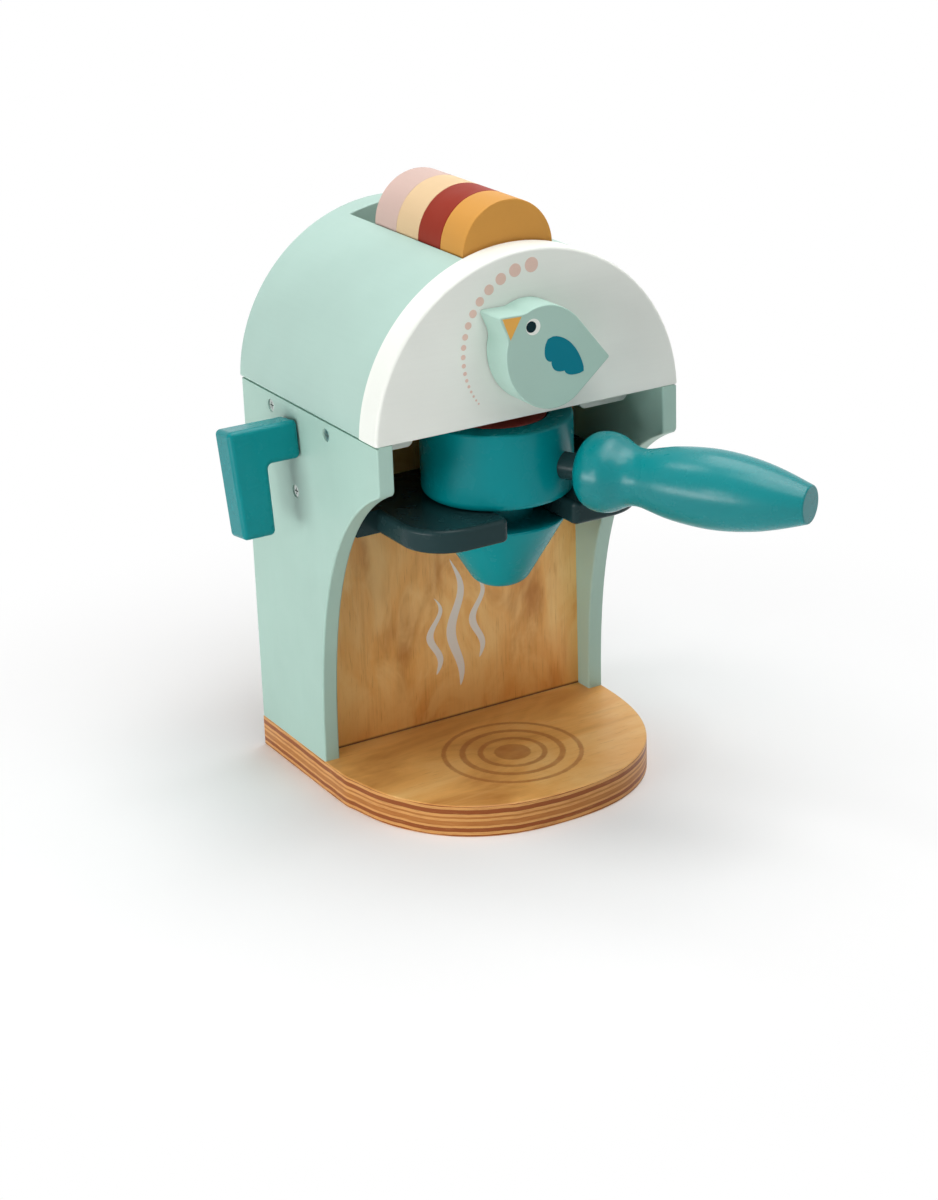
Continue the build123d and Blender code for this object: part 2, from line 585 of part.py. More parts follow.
def spout_cone():
    """Conical spout under the fork, with the neck between the prongs and a spigot in the cup."""
    low = SPOUT_TOP - SPOUT_H
    profile = Polyline(
        (0, low), (SPOUT_TIP_R, low), (SPOUT_R, SPOUT_TOP), (NECK_R, SPOUT_TOP),
        (NECK_R, CUP_BOTTOM), (SPIGOT_R, CUP_BOTTOM), (SPIGOT_R, CUP_BOTTOM + SPIGOT_L),
        (0, CUP_BOTTOM + SPIGOT_L), close=True,
    )
    outline = make_face(profile)
    tip = [v for v in outline.vertices() if v.X > SPIGOT_R and v.Y < low + RUN_CLEAR]
    outline = fillet(tip, SPOUT_TIP_EDGE)
    rim = outline.vertices().sort_by(Axis.X)[-1]
    outline = fillet(rim, SOFT_EDGE)
    return Pos(0, CUP_Y, 0) * revolve(Plane.XZ * outline, axis=Axis.Z)


def porta_cup():
    """Turned cup with a flat recess for one pod."""
    height = CUP_TOP - CUP_BOTTOM
    cup = Cylinder(CUP_R, height, align=(Align.CENTER, Align.CENTER, Align.MIN))
    cup = fillet(cup.edges().group_by(Axis.Z)[0], CUP_BOTTOM_EDGE)
    recess = Cylinder(CUP_RECESS_R, height, align=(Align.CENTER, Align.CENTER, Align.MIN))
    cup -= Pos(0, 0, CUP_FLOOR_T) * recess
    cup = fillet(cup.faces().sort_by(Axis.Z)[-1].edges(), CUP_RIM_EDGE)
    cup -= rod(SPIGOT_R + RUN_CLEAR, (0, 0, 0), (0, 0, SPIGOT_L + FLAT_CLEAR))
    cup = Pos(0, CUP_Y, CUP_BOTTOM) * cup
    return cup - along_handle(rod(STEM_R + RUN_CLEAR, (STEM_START, 0, 0), (CUP_R + CUP_R, 0, 0)))


def porta_stem():
    """Dowel between cup and handle."""
    return along_handle(rod(STEM_R, (STEM_START, 0, 0), (HANDLE_START + STEM_GRIP, 0, 0)))


def porta_handle():
    """Turned handle: a round bulb, a waist and a long tapering grip with a flat end."""
    stations = [(HANDLE_START + along * HANDLE_L, out * HANDLE_R) for along, out in HANDLE_SHARES]
    curve = Spline((HANDLE_START, HANDLE_BACK_R), *stations, (HANDLE_END, HANDLE_END_R))
    rest = Polyline(
        (HANDLE_END, HANDLE_END_R), (HANDLE_END, 0), (HANDLE_START, 0), (HANDLE_START, HANDLE_BACK_R),
    )
    handle = revolve(make_face(curve + rest), axis=Axis.X)
    handle = fillet(handle.faces().sort_by(Axis.X)[-1].edges(), SOFT_EDGE)
    socket = rod(STEM_R + RUN_CLEAR, (HANDLE_START, 0, 0), (HANDLE_START + STEM_GRIP + FLAT_CLEAR, 0, 0))
    return along_handle(handle - socket)


# ------------------------------------------------------------------ pods
def pod():
    """Flat round pod on the XY plane."""
    disc = Cylinder(POD_R, POD_T, align=(Align.CENTER, Align.CENTER, Align.MIN))
    return fillet(disc.edges().filter_by(GeomType.CIRCLE), POD_EDGE)


def pod_in_slot(index):
    """Pod on edge in the slot, counted from the front."""
    front = HOOD_Y + POD_LEAD + index * (POD_T + POD_ROOM)
    return Pos(0, front, POD_Z) * Rot(-90, 0, 0) * pod()


def pod_in_cup():
    return Pos(0, CUP_Y, CUP_BOTTOM + CUP_FLOOR_T) * pod()


# ------------------------------------------------------------------ assembly
def group(solids):
    return Compound(children=solids)


nodes = {
    "base_board": base_board(),
    "side_panel_left": side_panel_left(),
    "side_panel_right": side_panel_right(),
    "back_panel": back_panel(),
    "hood_block": hood_block(),
    "front_panel": front_panel(),
    "cleat_left": cleat_left(),
    "cleat_right": cleat_right(),
    "fork_shelf": fork_shelf(),
    "knob_body": knob_body(),
    "knob_axle": knob_axle(),
    "knob_retainer": knob_retainer(),
    "knob_screw": screw(knob_screw_spot(), (0, -1, 0), KNOB_SCREW_L),
    "lever_arm": lever_arm(),
    "lever_pin": lever_pin(),
    "lever_lock_screw": lever_lock_screw(),
    "spout_cone": spout_cone(),
    "porta_cup": porta_cup(),
    "porta_stem": porta_stem(),
    "porta_handle": porta_handle(),
    "pod_terracotta": pod_in_cup(),
    "front_dowels": group([dowel_rod(spot, 0) for spot in front_dowel_spots()]),
    "panel_screws": group([
        screw(spot, (-side, 0, 0), PANEL_SCREW_L) for side in (-1, 1) for spot in side_screw_spots(side)]),
    "cleat_screws": group([
        screw(spot, (0, 0, 1), CLEAT_SCREW_L) for side in (-1, 1) for spot in cleat_screw_spots(side)]),
    "fork_screws": group([screw(spot, (0, -1, 0), FORK_SCREW_L) for spot in fork_screw_spots()]),
    "base_screws": group([screw(spot, (0, 0, 1), BASE_SCREW_L) for spot in base_screw_spots()]),
}
for index, name in enumerate(POD_NAMES):
    nodes[name] = pod_in_slot(index)

os.makedirs("parts", exist_ok=True)
for name, shape in nodes.items():
    export_step(shape, f"parts/{name}.step")
    print(name, round(shape.volume))
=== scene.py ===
"""Studio scene of the wooden toy coffee maker.

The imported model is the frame. Its painted, varnished and plated surfaces get their finish here,
and the printed motifs are thin pieces that lie on the boards that carry them. Metres throughout,
+Z up, the front faces -Y.
"""

import math

import bmesh
import bpy
from mathutils import Matrix, Vector


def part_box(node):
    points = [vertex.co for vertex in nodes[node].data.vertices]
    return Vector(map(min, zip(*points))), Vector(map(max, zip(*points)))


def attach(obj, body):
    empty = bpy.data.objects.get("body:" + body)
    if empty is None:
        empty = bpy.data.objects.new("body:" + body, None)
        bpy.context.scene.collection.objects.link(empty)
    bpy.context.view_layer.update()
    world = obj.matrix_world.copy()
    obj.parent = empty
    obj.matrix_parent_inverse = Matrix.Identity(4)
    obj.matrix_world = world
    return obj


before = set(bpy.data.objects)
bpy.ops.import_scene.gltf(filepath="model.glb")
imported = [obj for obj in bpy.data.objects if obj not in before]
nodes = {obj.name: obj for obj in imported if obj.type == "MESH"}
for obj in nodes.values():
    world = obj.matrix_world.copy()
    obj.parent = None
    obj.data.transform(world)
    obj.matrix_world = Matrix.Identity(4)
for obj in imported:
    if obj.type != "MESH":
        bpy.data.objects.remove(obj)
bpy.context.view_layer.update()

MM = 0.001

# ------------------------------------------------------------------ places read from the frame
BASE_LOW, BASE_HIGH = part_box("base_board")
PANEL_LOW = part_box("front_panel")[0]
BACK_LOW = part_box("back_panel")[0]
KNOB_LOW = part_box("knob_body")[0]
AXLE_LOW, AXLE_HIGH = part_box("knob_axle")
BASE_T = BASE_HIGH.z - BASE_LOW.z
KNOB_AXIS = Vector(((AXLE_LOW.x + AXLE_HIGH.x) / 2, KNOB_LOW.y, (AXLE_LOW.z + AXLE_HIGH.z) / 2))

# ------------------------------------------------------------------ camera
CAMERA_PLACE = (-0.6655, -1.1403, 0.6302)
CAMERA_TURN = math.radians(30.82)     # to the left of the front
CAMERA_RISE = math.radians(20.95)
CAMERA_ROLL = math.radians(-1.68)
CAMERA_LENS = 78.46
CAMERA_SHIFT = (-0.0250, -0.0406)
CAMERA_CLIP = (0.05, 20.0)

# ------------------------------------------------------------------ light
WORLD_LIGHT = 0.07                     # strength for all rays but the camera's and glossy ones
SOFTBOXES = (
    # name, place, aim, width, height, power
    ("light_overhead", (0.0, -0.50, 1.40), (0.0, 0.0, 0.15), 1.0, 0.8, 9.7),
    ("light_right", (0.30, 0.15, 1.30), (0.0, 0.0, 0.15), 0.8, 0.8, 8.2),
    ("light_rear_left", (-0.50, 0.30, 1.25), (0.0, 0.0, 0.15), 0.3, 0.3, 2.1),
    ("light_left", (-1.35, -0.49, 0.50), (0.0, 0.0, 0.15), 0.17, 0.17, 1.6),
    ("light_left_low", (-1.10, -0.18, 0.14), (0.0, 0.0, 0.07), 0.9, 0.26, 6.0),
    ("light_right_front", (0.95, -1.25, 0.85), (0.0, 0.0, 0.20), 0.8, 0.8, 1.9),
)
FLOOR_HALF = 4.0
FLOOR_COLOUR = 0.97
FLOOR_FADE = (0.13, 0.42)              # from the origin, where the floor turns to plain white

# ------------------------------------------------------------------ colours (sRGB, 0 to 255)
MINT = (166, 198, 186)
MINT_HOOD_LIT = (169, 198, 188)            # the hood's copy of the mint, a shade bluer and paler than the boards': painted sheen
WHITE = (234, 237, 230)
TEAL = (0, 129, 133)
TEAL_TURNED_LIT = (0, 137, 143)            # cup and spout: the same teal painted lighter, as painted light
NAVY = (30, 54, 56)
TERRACOTTA = (170, 62, 48)
ORANGE = (204, 147, 70)
MAROON = (139, 42, 24)
CREAM = (220, 191, 150)
PINK = (204, 177, 167)
BEAK_ORANGE = (230, 170, 76)
PUPIL = (4, 34, 40)
WING_TEAL = (0, 118, 136)
PRINT_ROSE = (226, 194, 180)
PRINT_GREY = (236, 229, 220)
HONEY_LIGHT = (255, 211, 138)
HONEY = (242, 180, 100)
HONEY_DARK = (196, 130, 60)
BASE_TONE = (0.95, 0.94, 0.95)         # linear factors on the stain
# painted shade: linear factors that darken and redden the foot of the back panel
FOOT_SHADE_TONE = (0.86, 0.72, 0.56)
STAIN = (162, 84, 36)                  # of the rings
JOINT_SHADOW = (70, 34, 14)             # painted shadow where back panel and base meet
PLY_LIGHT = (214, 156, 88)
PLY_MID = (180, 114, 50)
PLY_DARK = (144, 74, 22)
BARE = (226, 196, 148)
BARE_DARK = (198, 160, 108)
STEEL = (204, 214, 210)
STEEL_DULL = (112, 126, 122)


# ------------------------------------------------------------------ finishes
PEEL_SCALE = 520.0                     # features per metre of the paint's orange peel
GRAIN_SCALE = (520.0, 14.0)            # features per metre across and along the grain, under paint
PAINT_CLOUDS = 14.0
LACQUER = {"roughness": 0.25, "grain_depth": 0.015, "gloss": 0.14}
LEVER_LACQUER = {"roughness": 0.25, "grain_depth": 0.004, "gloss": 0.18}
POLISHED = {"roughness": 0.27, "grain_depth": 0.012, "gloss": 0.32}
PALE_POD = {"roughness": 0.5, "gloss": 0.15}
DEEP_POD = {"roughness": 0.48, "gloss": 0.15}
BACK_FOOT = 42 * MM                    # height from the back panel's foot over which its painted shade fades out
BACK_JOINT = 1.8 * MM
RING_SOFT = 0.55 * MM                  # half width of the rings' soft edge
RING_BLEED = 0.25 * MM                 # how far the rings' edge wanders
PLY_WANDER = 0.022                     # share of the thickness by which the plies wander

# ------------------------------------------------------------------ printed motifs
PRINT_T = 0.10 * MM
PRINT_SINK = 0.04 * MM                # how deep a print's back lies in its board
RING_CENTRE = (0.4 * MM, -32.3 * MM)
RINGS = ((37.6 * MM, 2.6 * MM), (27.4 * MM, 3.3 * MM), (17.6 * MM, 3.0 * MM))   # radius, width
RING_DISC = 10.0 * MM
DOT_COUNT = 18
DOT_ARC_OFF = (2.6 * MM, -1.2 * MM)   # middle of the arc, off the knob axis in x and z
DOT_ARC_R = 41.8 * MM
DOT_START = 91.0                      # degrees from +X, the largest dot
DOT_GAP = 13.4                        # first step in degrees
DOT_SHRINK = 0.918                    # each step against the one before
DOT_R = 3.85 * MM
DOT_R_SHRINK = 0.888
# the bird's places are millimetres from the knob axis, x to the right and z up
BIRD_BEAK = ((-27.6, 21.6), (-23.2, 10.2), (-16.6, 21.3))
BIRD_EYE = (-10.0, 14.9)
BIRD_EYE_R = 4.2 * MM
BIRD_PUPIL = (-11.2, 15.1)
BIRD_PUPIL_R = 2.9 * MM
BIRD_WING_ROOT = (-1.6, 7.2)
BIRD_WING_TURN = -44.0
BIRD_WING_L = 29.0
BIRD_WING_RISE = 6.4
BIRD_WING_DROP = 9.6
BIRD_FEATHERS = 3
BIRD_SCALLOP = 0.22                   # depth of the notches between feathers, as a share of the drop
BIRD_NOTCH_SHARPNESS = 0.75           # below 1 the feathers are rounder and the notches sharper
WING_BELLY = 0.8                      # below 1 the widest part moves towards the root
WING_ROUND_TOP = 0.7                  # below 1 the outline is fuller
WING_ROUND_FOOT = 0.6
WING_STEPS = 18
STEAM_WISPS = (
    # x, lowest, highest, half width, phase
    (-12.5, 46.0, 92.0, 2.3, 0.0), (1.0, 36.0, 113.0, 3.0, 0.7), (15.0, 50.0, 100.0, 2.3, 0.2),
)
STEAM_WAVES = 1.5
STEAM_SWING = 4.2
STEAM_SWING_FOOT = 0.6                # share of the swing at the foot of a wisp
STEAM_BELLY = 0.8                     # below 1 the widest part moves down
STEAM_ROUND = 0.75                    # below 1 the ends are blunter
STEAM_STEPS = 44


def linear(colour):
    """Scene-linear colour with alpha, from sRGB values."""
    result = []
    for value in colour:
        share = value / 255
        result.append(share / 12.92 if share <= 0.04045 else ((share + 0.055) / 1.055) ** 2.4)
    return (*result, 1.0)


# ================================================================== materials
class Tree:
    """The node tree of one new material."""

    def __init__(self, name):
        self.material = bpy.data.materials.new(name)
        self.material.use_nodes = True
        self.nodes = self.material.node_tree.nodes
        self.links = self.material.node_tree.links
        self.nodes.clear()
        coordinates = self.nodes.new("ShaderNodeTexCoord")
        self.place = coordinates.outputs["Object"]
        self.facing = coordinates.outputs["Normal"]

    def put(self, socket, value):
        """Links a socket, or sets a plain value."""
        if isinstance(value, bpy.types.NodeSocket):
            self.links.new(value, socket)
        elif isinstance(value, tuple) and len(value) == 3 and socket.type == "RGBA":
            socket.default_value = (*value, 1.0)
        else:
            socket.default_value = value

    def math(self, operation, first, second=0.0, third=0.0, clamp=False):
        node = self.nodes.new("ShaderNodeMath")
        node.operation = operation
        node.use_clamp = clamp
        for socket, value in zip(node.inputs, (first, second, third)):
            self.put(socket, value)
        return node.outputs["Value"]

    def scaled(self, stretch, vector=None):
        """The place, multiplied axis by axis."""
        node = self.nodes.new("ShaderNodeMapping")
        self.put(node.inputs["Vector"], vector or self.place)
        node.inputs["Scale"].default_value = stretch
        return node.outputs["Vector"]

    def noise(self, stretch, detail=3.0, roughness=0.5, distortion=0.0):
        """Noise with so many features per metre along each axis, from 0 to 1."""
        node = self.nodes.new("ShaderNodeTexNoise")
        self.put(node.inputs["Vector"], self.scaled(stretch))
        node.inputs["Scale"].default_value = 1.0
        node.inputs["Detail"].default_value = detail
        node.inputs["Roughness"].default_value = roughness
        node.inputs["Distortion"].default_value = distortion
        return node.outputs["Fac"]

    def between(self, value, low, high, to_low=0.0, to_high=1.0):
        """Value from low to high, spread smoothly over to_low to to_high."""
        node = self.nodes.new("ShaderNodeMapRange")
        node.interpolation_type = "SMOOTHSTEP"
        settings = (value, low, high, to_low, to_high)
        for socket, setting in zip(node.inputs, settings):
            self.put(socket, setting)
        return node.outputs["Result"]

    def blend(self, factor, first, second, way="MIX"):
        """Two colours mixed."""
        node = self.nodes.new("ShaderNodeMix")
        node.data_type = "RGBA"
        node.blend_type = way
        self.put(node.inputs["Factor"], factor)
        self.put(node.inputs[6], first)
        self.put(node.inputs[7], second)
        return node.outputs[2]

    def ramp(self, value, stops, interpolation="LINEAR"):
        """Colour ramp from (position, colour) pairs."""
        node = self.nodes.new("ShaderNodeValToRGB")
        self.put(node.inputs["Fac"], value)
        node.color_ramp.interpolation = interpolation
        elements = node.color_ramp.elements
        for index, (position, colour) in enumerate(stops):
            element = elements[index] if index < 2 else elements.new(position)
            element.position = position
            element.color = linear(colour)
        return node.outputs["Color"]

    def grey(self, value):
        """Grey colour of a value."""
        node = self.nodes.new("ShaderNodeCombineColor")
        for socket in node.inputs:
            self.put(socket, value)
        return node.outputs["Color"]

    def bump(self, height, strength, distance, normal=None):
        node = self.nodes.new("ShaderNodeBump")
        self.put(node.inputs["Height"], height)
        node.inputs["Strength"].default_value = strength
        node.inputs["Distance"].default_value = distance
        if normal is not None:
            self.put(node.inputs["Normal"], normal)
        return node.outputs["Normal"]

    def finish(self, colour, roughness, normal, **settings):
        """Principled surface; settings are plain values by socket name."""
        shader = self.nodes.new("ShaderNodeBsdfPrincipled")
        self.put(shader.inputs["Base Color"], colour)
        self.put(shader.inputs["Roughness"], roughness)
        self.put(shader.inputs["Normal"], normal)
        for name, value in settings.items():
            shader.inputs[name.replace("_", " ").title().replace("Ior", "IOR")].default_value = value
        output = self.nodes.new("ShaderNodeOutputMaterial")
        self.links.new(shader.outputs["BSDF"], output.inputs["Surface"])
        return self.material


ALONG = {
    "x": lambda fine, coarse: (coarse, fine, fine),
    "y": lambda fine, coarse: (fine, coarse, fine),
    "z": lambda fine, coarse: (fine, fine, coarse),
}


def paint(name, colour, grain="z", roughness=0.42, grain_depth=0.025, gloss=0.42):
    """Sprayed paint on wood: faint cloudiness, orange peel and the grain telegraphing through."""
    tree = Tree(name)
    shade = linear(colour)
    clouds = tree.noise((PAINT_CLOUDS, PAINT_CLOUDS, PAINT_CLOUDS), detail=2.0)
    lift = tree.between(clouds, 0.3, 0.7, 0.965, 1.035)
    streaks = tree.noise(ALONG[grain](*GRAIN_SCALE), detail=3.0, roughness=0.6)
    lift = tree.math("MULTIPLY", lift, tree.between(streaks, 0.25, 0.75, 0.993, 1.005))
    coloured = tree.blend(1.0, shade, tree.grey(lift), "MULTIPLY")
    peel = tree.noise((PEEL_SCALE, PEEL_SCALE, PEEL_SCALE), detail=1.0)
    normal = tree.bump(peel, 0.05, 0.06 * MM)
    normal = tree.bump(streaks, grain_depth, 0.25 * MM, normal)
    specks = tree.noise((90.0, 90.0, 90.0), detail=4.0)
    rough = tree.between(specks, 0.2, 0.8, roughness - 0.04, roughness + 0.05)
    return tree.finish(coloured, rough, normal, specular_ior_level=gloss)


def veneer(tree, grain, tone=(1.0, 1.0, 1.0)):
    """Stained birch veneer: (colour, height). Cloudy stain, long streaks and short dark pores."""
    clouds = tree.noise(ALONG[grain](26.0, 11.0), detail=4.0, roughness=0.55, distortion=0.6)
    colour = tree.ramp(clouds, ((0.28, HONEY_DARK), (0.50, HONEY), (0.74, HONEY_LIGHT)))
    streaks = tree.noise(ALONG[grain](310.0, 7.0), detail=5.0, roughness=0.62, distortion=0.25)
    colour = tree.blend(tree.between(streaks, 0.50, 0.78, 0.0, 0.30), colour, linear(HONEY_DARK))
    colour = tree.blend(tree.between(streaks, 0.22, 0.46, 0.18, 0.0), colour, linear(HONEY_LIGHT))
    pores = tree.noise(ALONG[grain](1500.0, 70.0), detail=2.0, roughness=0.6)
    dark_pore = tree.between(pores, 0.60, 0.72, 0.0, 0.55)
    colour = tree.blend(dark_pore, colour, linear(HONEY_DARK))
    colour = tree.blend(1.0, colour, (*tone, 1.0), "MULTIPLY")
    height = tree.math("SUBTRACT", streaks, dark_pore)
    return colour, height


def varnished(tree, colour, height):
    """Satin varnish over wood."""
    sheen_spots = tree.noise((60.0, 60.0, 60.0), detail=3.0)
    rough = tree.between(sheen_spots, 0.25, 0.75, 0.36, 0.46)
    normal = tree.bump(height, 0.16, 0.08 * MM)
    return tree.finish(colour, rough, normal, specular_ior_level=0.3, coat_weight=0.08, coat_roughness=0.2)


def back_plywood():
    """Upright stained panel: fine lines, pale bands, painted shade on its foot and a painted shadow in the
    joint at the base.
    """
    tree = Tree("back_plywood")
    colour, height = veneer(tree, "z")
    axes = tree.nodes.new("ShaderNodeSeparateXYZ")
    tree.put(axes.inputs[0], tree.place)
    lines = tree.noise((820.0, 820.0, 30.0), detail=3.0, roughness=0.6)
    colour = tree.blend(tree.between(lines, 0.50, 0.75, 0.0, 0.28), colour, linear(HONEY_DARK))
    bands = tree.noise((42.0, 42.0, 20.0), detail=4.0, roughness=0.6, distortion=1.2)
    colour = tree.blend(tree.between(bands, 0.38, 0.66, 0.0, 0.7), colour, linear(HONEY_LIGHT))
    # painted shade, strongest at the panel's foot and gone by BACK_FOOT above it
    foot = tree.between(axes.outputs[2], BACK_LOW.z, BACK_LOW.z + BACK_FOOT, 1.0, 0.0)
    colour = tree.blend(foot, colour, (*FOOT_SHADE_TONE, 1.0), "MULTIPLY")
    # painted shadow in the joint, over BACK_JOINT from the panel's foot
    joint_shadow = tree.between(axes.outputs[2], BACK_LOW.z, BACK_LOW.z + BACK_JOINT, 1.0, 0.0)
    colour = tree.blend(joint_shadow, colour, linear(JOINT_SHADOW))
    return varnished(tree, colour, height)


PLIES = (
    # share of the thickness from below where the ply ends, and its colour
    (0.055, PLY_DARK), (0.150, PLY_LIGHT), (0.275, PLY_DARK), (0.345, PLY_LIGHT), (0.500, PLY_MID),
    (0.575, PLY_LIGHT), (0.640, PLY_MID), (0.725, PLY_LIGHT), (0.865, PLY_DARK), (0.955, PLY_LIGHT),
    (1.0, PLY_DARK),
)


def base_plywood():
    """Base board: veneer with stained rings on top and the glued plies round the edge."""
    tree = Tree("base_plywood")
    colour, height = veneer(tree, "x", BASE_TONE)
    axes = tree.nodes.new("ShaderNodeSeparateXYZ")
    tree.put(axes.inputs[0], tree.place)
    x, y, z = axes.outputs
    away_x = tree.math("SUBTRACT", x, RING_CENTRE[0])
    away_y = tree.math("SUBTRACT", y, RING_CENTRE[1])
    square = tree.math("ADD", tree.math("MULTIPLY", away_x, away_x), tree.math("MULTIPLY", away_y, away_y))
    bleed = tree.noise((700.0, 900.0, 700.0), detail=2.0)
    reach = tree.math("SQRT", square)
    reach = tree.math("ADD", reach, tree.between(bleed, 0.2, 0.8, -RING_BLEED, RING_BLEED))
    mask = tree.between(reach, RING_DISC - RING_SOFT, RING_DISC + RING_SOFT, 1.0, 0.0)
    for radius, width in RINGS:
        off = tree.math("ABSOLUTE", tree.math("SUBTRACT", reach, radius))
        ring = tree.between(off, width / 2 - RING_SOFT, width / 2 + RING_SOFT, 1.0, 0.0)
        mask = tree.math("MAXIMUM", mask, ring)
    facing = tree.nodes.new("ShaderNodeSeparateXYZ")
    tree.put(facing.inputs[0], tree.facing)
    up = tree.between(facing.outputs[2], 0.80, 0.95)
    mask = tree.math("MULTIPLY", mask, up)
    uneven = tree.noise((120.0, 160.0, 120.0), detail=3.0)
    mask = tree.math("MULTIPLY", mask, tree.between(uneven, 0.2, 0.8, 0.48, 0.68))
    colour = tree.blend(mask, colour, linear(STAIN))

    wobble = tree.noise((38.0, 38.0, 5.0), detail=3.0)
    layer = tree.math("DIVIDE", z, BASE_T)
    layer = tree.math("ADD", layer, tree.between(wobble, 0.2, 0.8, -PLY_WANDER, PLY_WANDER))
    stops = [(0.0, PLIES[0][1])]
    for (end, _), (_, shade) in zip(PLIES, PLIES[1:]):
        stops.append((end, shade))
    edge = tree.ramp(layer, stops, "CONSTANT")
    threads = tree.noise((95.0, 95.0, 900.0), detail=4.0, roughness=0.65)
    edge = tree.blend(tree.between(threads, 0.45, 0.75, 0.0, 0.45), edge, linear(PLY_DARK))
    edge = tree.blend(tree.between(threads, 0.25, 0.45, 0.30, 0.0), edge, linear(PLY_LIGHT))
    side = tree.between(tree.math("ABSOLUTE", facing.outputs[2]), 0.55, 0.75, 1.0, 0.0)
    colour = tree.blend(side, colour, edge)
    height = tree.math("ADD", height, tree.math("MULTIPLY", threads, side))
    return varnished(tree, colour, height)


def bare_wood():
    """Unfinished dowels and discs that the casework hides."""
    tree = Tree("bare_wood")
    streaks = tree.noise((300.0, 12.0, 300.0), detail=4.0, roughness=0.6)
    colour = tree.ramp(streaks, ((0.3, BARE_DARK), (0.6, BARE)))
    return tree.finish(colour, 0.7, tree.bump(streaks, 0.3, 0.1 * MM))


def zinc():
    """Zinc-plated steel with fine turning marks."""
    tree = Tree("zinc_steel")
    spots = tree.noise((900.0, 900.0, 900.0), detail=3.0)
    colour = tree.blend(tree.between(spots, 0.3, 0.7, 0.0, 0.35), linear(STEEL), linear(STEEL_DULL))
    rough = tree.between(spots, 0.3, 0.7, 0.30, 0.40)
    return tree.finish(colour, rough, tree.bump(spots, 0.1, 0.03 * MM), metallic=1.0)


def dress(node, material):
    """Gives a carried-over node its finish."""
    slots = nodes[node].data.materials
    slots.clear()
    slots.append(material)


mint_upright = paint("mint_upright", MINT, "z")
# the hood's paler mint is a painted sheen
mint_hood_lit = paint("mint_hood_lit", MINT_HOOD_LIT, "y")
mint_knob = paint("mint_knob", MINT, "x")
white_board = paint("white_board", WHITE, "x", roughness=0.45)
teal_lacquer = paint("teal_lacquer", TEAL, "z", **LEVER_LACQUER)
# the lighter teal of cup and spout is painted light
teal_turned_lit = paint("teal_turned_lit", TEAL_TURNED_LIT, "z", **LACQUER)
teal_handle = paint("teal_handle", TEAL, "y", **POLISHED)
navy_lacquer = paint("navy_lacquer", NAVY, "y", **LACQUER)
pod_paints = {
    "pod_pink": paint("pink_paint", PINK, "y", **PALE_POD),
    "pod_cream": paint("cream_paint", CREAM, "y", **PALE_POD),
    "pod_maroon": paint("maroon_paint", MAROON, "y", **DEEP_POD),
    "pod_orange": paint("orange_paint", ORANGE, "y", **DEEP_POD),
    "pod_terracotta": paint("terracotta_paint", TERRACOTTA, "z", roughness=0.5),
}
steel = zinc()
pale_wood = bare_wood()

FINISHES = {
    "base_board": base_plywood(), "back_panel": back_plywood(),
    "side_panel_left": mint_upright, "side_panel_right": mint_upright, "hood_block": mint_hood_lit,
    "front_panel": white_board, "cleat_left": white_board, "cleat_right": white_board,
    "fork_shelf": navy_lacquer, "porta_stem": navy_lacquer,
    "lever_arm": teal_lacquer, "spout_cone": teal_turned_lit, "porta_cup": teal_turned_lit,
    "porta_handle": teal_handle, "knob_body": mint_knob,
    "knob_axle": pale_wood, "knob_retainer": pale_wood, "front_dowels": pale_wood,
    "knob_screw": steel, "lever_pin": steel, "lever_lock_screw": steel, "panel_screws": steel,
    "cleat_screws": steel, "fork_screws": steel, "base_screws": steel,
    **pod_paints,
}
for node_name, finish in FINISHES.items():
    dress(node_name, finish)


# ================================================================== printed pieces
def plate(name, outline, face_y, material, body):
    """Thin print on a face that looks to -Y; outline is a loop of (x, z) points."""
    mesh = bmesh.new()
    front = [mesh.verts.new((x, face_y - PRINT_T, z)) for x, z in outline]
    back = [mesh.verts.new((x, face_y + PRINT_SINK, z)) for x, z in outline]
    count = len(outline)
    mesh.faces.new(front)
    mesh.faces.new(list(reversed(back)))
    for index in range(count):
        after = (index + 1) % count
        mesh.faces.new((front[after], front[index], back[index], back[after]))
    bmesh.ops.recalc_face_normals(mesh, faces=mesh.faces[:])
    data = bpy.data.meshes.new(name)
    mesh.to_mesh(data)
    mesh.free()
    data.materials.append(material)
    piece = bpy.data.objects.new(name, data)
    bpy.context.scene.collection.objects.link(piece)
    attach(piece, body)


def circle(centre_x, centre_z, radius, count=40):
    steps = [2 * math.pi * step / count for step in range(count)]
    return [(centre_x + radius * math.cos(turn), centre_z + radius * math.sin(turn)) for turn in steps]


def print_dots():
    """Arc of dots round the knob that shrink as they go down."""
    rose = paint("rose_print", PRINT_ROSE, "x", roughness=0.5)
    turn = DOT_START
    step = DOT_GAP
    radius = DOT_R
    for index in range(DOT_COUNT):
        angle = math.radians(turn)
        x = KNOB_AXIS.x + DOT_ARC_OFF[0] + DOT_ARC_R * math.cos(angle)
        z = KNOB_AXIS.z + DOT_ARC_OFF[1] + DOT_ARC_R * math.sin(angle)
        plate(f"dial_dot_{index + 1:02d}", circle(x, z, radius), PANEL_LOW.y, rose, "machine")
        turn += step
        step *= DOT_SHRINK
        radius *= DOT_R_SHRINK


